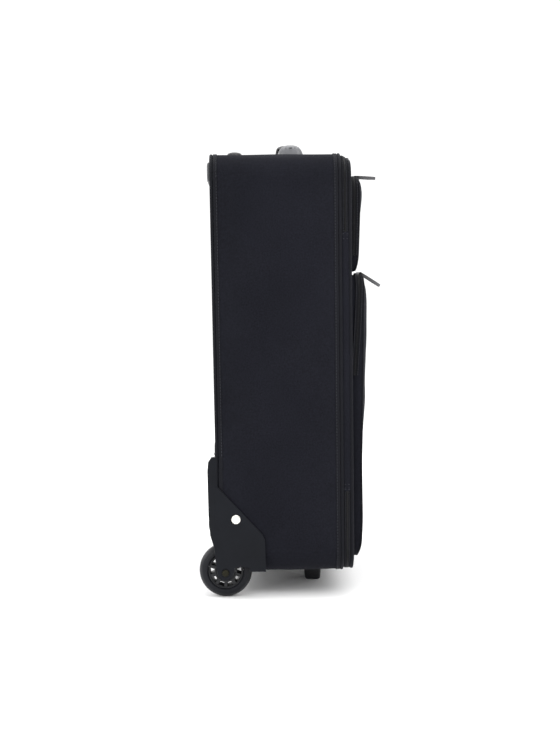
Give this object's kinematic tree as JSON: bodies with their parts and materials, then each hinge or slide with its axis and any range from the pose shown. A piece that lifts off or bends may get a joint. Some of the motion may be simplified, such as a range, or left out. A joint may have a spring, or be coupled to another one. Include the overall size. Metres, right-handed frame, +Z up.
{
  "type": "softside upright suitcase",
  "caption": "Upright cloth suitcase with a side-opening lid, outside zip pockets, a telescopic trolley handle, a top carry handle, rear wheels and front feet.",
  "frame": {"origin": "on the floor, in the middle of the overall width and depth of the standing case", "axes": "+Z up, the lid and pockets face -Y, +X is to the right of someone who faces the lid"},
  "size_m": [0.3522, 0.2231, 0.55],
  "materials": {
    "cloth": "woven ballistic polyester, near-black with a blue cast",
    "piping": "black cloth-covered cord",
    "zip_tape": "black zip tape with a plastic coil",
    "stiffening_board": "stiff sheet behind the cloth",
    "lining_cloth": "grey lining cloth",
    "plastic": "dark moulded plastic, slight sheen",
    "grey_plastic": "silver-grey moulded plastic",
    "tube_metal": "satin aluminium",
    "tyre": "black tyre with a soft gloss",
    "axle_steel": "dark plated steel",
    "rivet": "bright rivet head",
    "puller_metal": "dark gunmetal plating",
    "webbing": "black webbing"
  },
  "bodies": {
    "case": {"fabric_band": "cloth", "back_fabric": "cloth", "lid_hinge_strip": "cloth", "back_piping": "piping", "back_piping_lower": "piping", "mouth_piping": "piping", "main_zipper_body_half": "zip_tape", "side_board_left": "stiffening_board", "side_board_right": "stiffening_board", "top_board": "stiffening_board", "bottom_board": "stiffening_board", "back_board": "stiffening_board", "trolley_cover_panel": "stiffening_board", "lining": "lining_cloth", "kick_plate": "plastic", "wheel_housing_left": "plastic", "wheel_housing_right": "plastic", "foot_left": "plastic", "foot_right": "plastic", "trolley_base": "plastic", "trolley_cup": "plastic", "strap_buckle": "plastic", "back_anchor_plate": "plastic", "carry_cap_left": "grey_plastic", "carry_cap_right": "grey_plastic", "outer_tube_left": "tube_metal", "outer_tube_right": "tube_metal", "wheel_axle_left": "axle_steel", "wheel_axle_right": "axle_steel", "housing_rivet_left": "rivet", "housing_rivet_right": "rivet", "packing_strap": "webbing"},
    "lid": {"lid_fabric": "cloth", "lid_board": "stiffening_board", "lid_lining": "lining_cloth", "lid_piping": "piping", "main_zipper_lid_half": "zip_tape", "upper_pocket": "cloth", "lower_pocket": "cloth", "upper_pocket_zipper": "zip_tape", "lower_pocket_zipper": "zip_tape"},
    "upper_slider": {"upper_slider": "puller_metal"},
    "upper_puller": {"upper_puller": "puller_metal"},
    "lower_slider": {"lower_slider": "puller_metal"},
    "lower_puller": {"lower_puller": "puller_metal"},
    "main_slider": {"main_slider": "puller_metal"},
    "main_puller": {"main_puller": "puller_metal"},
    "trolley_mid": {"mid_tube_left": "tube_metal", "mid_tube_right": "tube_metal"},
    "trolley_top": {"inner_tube_left": "tube_metal", "inner_tube_right": "tube_metal", "trolley_grip": "plastic"},
    "release_button": {"release_button": "grey_plastic"},
    "carry_handle": {"carry_grip": "plastic"},
    "wheel_left": {"wheel_tyre_left": "tyre", "wheel_hub_left": "plastic", "wheel_bearings_left": "axle_steel"},
    "wheel_right": {"wheel_tyre_right": "tyre", "wheel_hub_right": "plastic", "wheel_bearings_right": "axle_steel"}
  },
  "joints": [
    {"name": "lid_hinge", "type": "hinge", "parent": "case", "child": "lid", "pos_m": [-0.1715, -0.06435, 0.2785], "axis": [0, 0, -1], "range_deg": [0, 170]},
    {"name": "main_slider_run", "type": "slide", "parent": "case", "child": "main_slider", "axis": [-1, 0, 0], "range_m": [-0.07, 0.16]},
    {"name": "main_puller_swing", "type": "hinge", "parent": "main_slider", "child": "main_puller", "pos_m": [0.04, -0.06435, 0.5302], "axis": [0, -1, 0], "range_deg": [0, 150]},
    {"name": "upper_slider_run", "type": "slide", "parent": "lid", "child": "upper_slider", "axis": [1, 0, 0], "range_m": [-0.015, 0.21]},
    {"name": "upper_puller_swing", "type": "hinge", "parent": "upper_slider", "child": "upper_puller", "pos_m": [-0.098, -0.08225, 0.5039], "axis": [1, 0, 0], "range_deg": [-60, 28]},
    {"name": "lower_slider_run", "type": "slide", "parent": "lid", "child": "lower_slider", "axis": [1, 0, 0], "range_m": [-0.015, 0.22]},
    {"name": "lower_puller_swing", "type": "hinge", "parent": "lower_slider", "child": "lower_puller", "pos_m": [-0.104, -0.08715, 0.3847], "axis": [1, 0, 0], "range_deg": [-50, 12]},
    {"name": "trolley_stage_1", "type": "slide", "parent": "case", "child": "trolley_mid", "axis": [0, 0, 1], "range_m": [0, 0.2]},
    {"name": "trolley_stage_2", "type": "slide", "parent": "trolley_mid", "child": "trolley_top", "axis": [0, 0, 1], "range_m": [0, 0.22]},
    {"name": "release_press", "type": "slide", "parent": "trolley_top", "child": "release_button", "axis": [0, 0, -1], "range_m": [0, 0.0028], "stiffness_N_per_m": 200},
    {"name": "carry_handle_lift", "type": "slide", "parent": "case", "child": "carry_handle", "axis": [0, 0, 1], "range_m": [0, 0.014]},
    {"name": "wheel_left_spin", "type": "hinge", "parent": "case", "child": "wheel_left", "pos_m": [-0.1515, 0.08015, 0.0315], "axis": [1, 0, 0], "continuous": true},
    {"name": "wheel_right_spin", "type": "hinge", "parent": "case", "child": "wheel_right", "pos_m": [0.1515, 0.08015, 0.0315], "axis": [1, 0, 0], "continuous": true}
  ]
}
